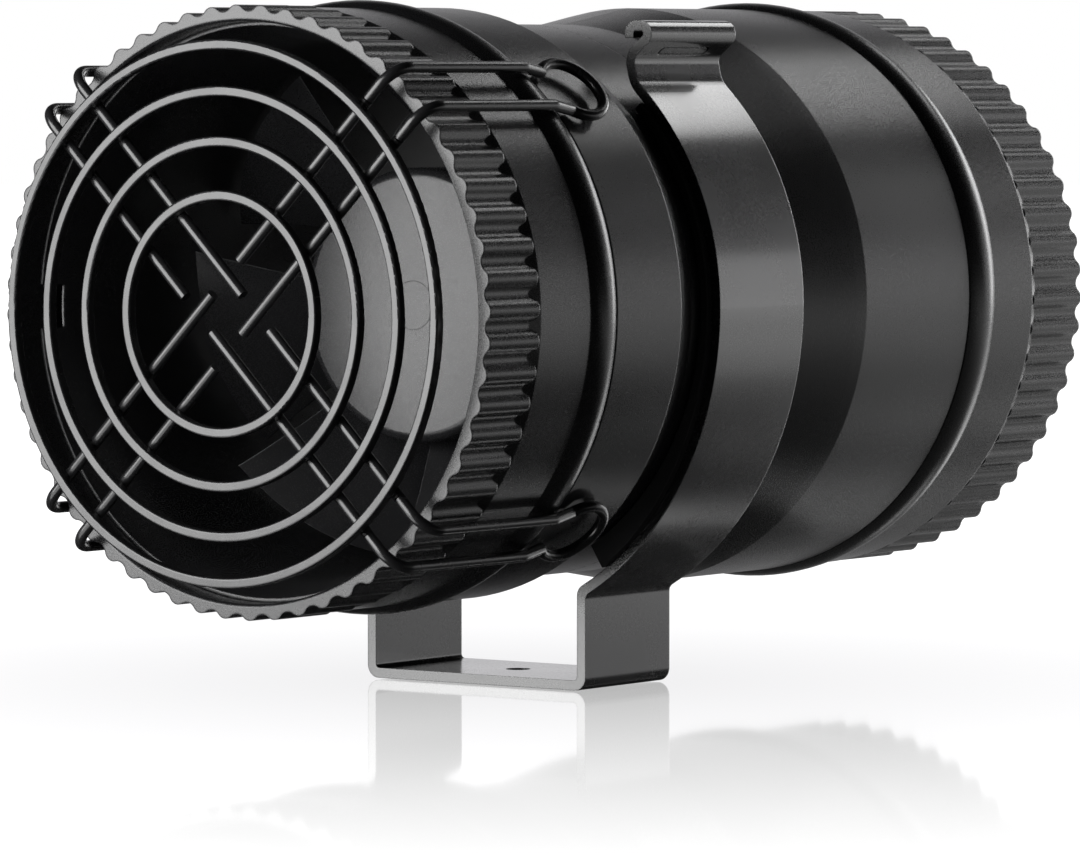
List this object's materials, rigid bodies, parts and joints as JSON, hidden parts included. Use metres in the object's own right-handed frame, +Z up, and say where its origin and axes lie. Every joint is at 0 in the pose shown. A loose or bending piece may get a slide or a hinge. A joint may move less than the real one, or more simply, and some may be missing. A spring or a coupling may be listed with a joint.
{
  "type": "wave maker pump",
  "caption": "Ducted propeller pump in a fluted round barrel, with a clip-on wire guard at the outlet, held at its waist by a sprung sheet-metal bracket with a U foot.",
  "frame": {"origin": "centre of the bolt hole in the bracket's foot, on the foot's underside", "axes": "+Z up from the foot to the barrel; the barrel's axis runs along Y with the guarded outlet facing -Y"},
  "size_m": [0.1366, 0.2237, 0.141],
  "materials": {
    "barrel_plastic": "fine-grained satin black",
    "collar_plastic": "fine-grained satin black",
    "strap_metal": "glossy black coating",
    "guard_wire": "dark satin steel wire",
    "propeller_plastic": "dark grey moulded",
    "inner_plastic": "black moulded",
    "rubber": "matt black",
    "steel": "plain stainless steel",
    "laminations": "coated electrical steel",
    "copper": "enamelled copper",
    "magnet": "sintered, dark grey",
    "ceramic": "white ceramic"
  },
  "bodies": {
    "bracket": {"bracket": "strap_metal", "liner_left": "rubber", "liner_right": "rubber"},
    "barrel": {"front_barrel": "barrel_plastic", "rear_barrel": "barrel_plastic", "guide_vanes": "inner_plastic", "motor_housing": "inner_plastic", "tail_cone": "inner_plastic", "tail_seal": "rubber", "tail_screws": "steel", "stator_core": "laminations", "stator_windings": "copper", "rotor_can": "steel", "front_bearing": "ceramic", "rear_bearing": "ceramic", "motor_lead": "rubber", "gland_body": "inner_plastic", "gland_seal": "rubber", "gland_nut": "inner_plastic"},
    "rotor": {"propeller": "propeller_plastic", "hub_plug": "propeller_plastic", "propeller_screw": "steel", "shaft": "ceramic", "rotor_sleeve": "steel", "rotor_magnet": "magnet", "thrust_washers": "ceramic"},
    "front_collar": {"front_collar": "collar_plastic"},
    "rear_collar": {"rear_collar": "collar_plastic", "rear_grille": "inner_plastic"},
    "guard": {"guard_ring_1": "guard_wire", "guard_ring_2": "guard_wire", "guard_ring_3": "guard_wire", "guard_ring_4": "guard_wire", "guard_spokes_1": "guard_wire", "guard_spokes_2": "guard_wire", "guard_spokes_3": "guard_wire", "guard_spokes_4": "guard_wire"},
    "clip_1": {"clip_arm_1": "guard_wire"},
    "clip_2": {"clip_arm_2": "guard_wire"},
    "clip_3": {"clip_arm_3": "guard_wire"},
    "clip_4": {"clip_arm_4": "guard_wire"}
  },
  "joints": [
    {"name": "barrel_roll", "type": "hinge", "parent": "bracket", "child": "barrel", "pos_m": [0, 0, 0.0788], "axis": [0, -1, 0], "continuous": true},
    {"name": "propeller_spin", "type": "hinge", "parent": "barrel", "child": "rotor", "pos_m": [0, 0, 0.0788], "axis": [0, -1, 0], "continuous": true},
    {"name": "front_collar_turn", "type": "hinge", "parent": "barrel", "child": "front_collar", "pos_m": [0, -0.0918, 0.0788], "axis": [0, -1, 0], "range_deg": [0, 30]},
    {"name": "rear_collar_turn", "type": "hinge", "parent": "barrel", "child": "rear_collar", "pos_m": [0, 0.1239, 0.0788], "axis": [0, 1, 0], "range_deg": [0, 30]},
    {"name": "guard_turn", "type": "hinge", "parent": "front_collar", "child": "guard", "pos_m": [0, -0.09865, 0.0788], "axis": [0, -1, 0], "continuous": true},
    {"name": "clip_flex_1", "type": "hinge", "parent": "guard", "child": "clip_1", "pos_m": [0.03843, -0.09635, 0.11723], "axis": [0.7071, 0, -0.7071], "range_deg": [0, 5], "stiffness_Nm_per_rad": 20},
    {"name": "clip_flex_2", "type": "hinge", "parent": "guard", "child": "clip_2", "pos_m": [-0.03843, -0.09635, 0.11723], "axis": [0.7071, 0, 0.7071], "range_deg": [0, 5], "stiffness_Nm_per_rad": 20},
    {"name": "clip_flex_3", "type": "hinge", "parent": "guard", "child": "clip_3", "pos_m": [-0.03843, -0.09635, 0.04037], "axis": [-0.7071, 0, 0.7071], "range_deg": [0, 5], "stiffness_Nm_per_rad": 20},
    {"name": "clip_flex_4", "type": "hinge", "parent": "guard", "child": "clip_4", "pos_m": [0.03843, -0.09635, 0.04037], "axis": [-0.7071, 0, -0.7071], "range_deg": [0, 5], "stiffness_Nm_per_rad": 20}
  ]
}
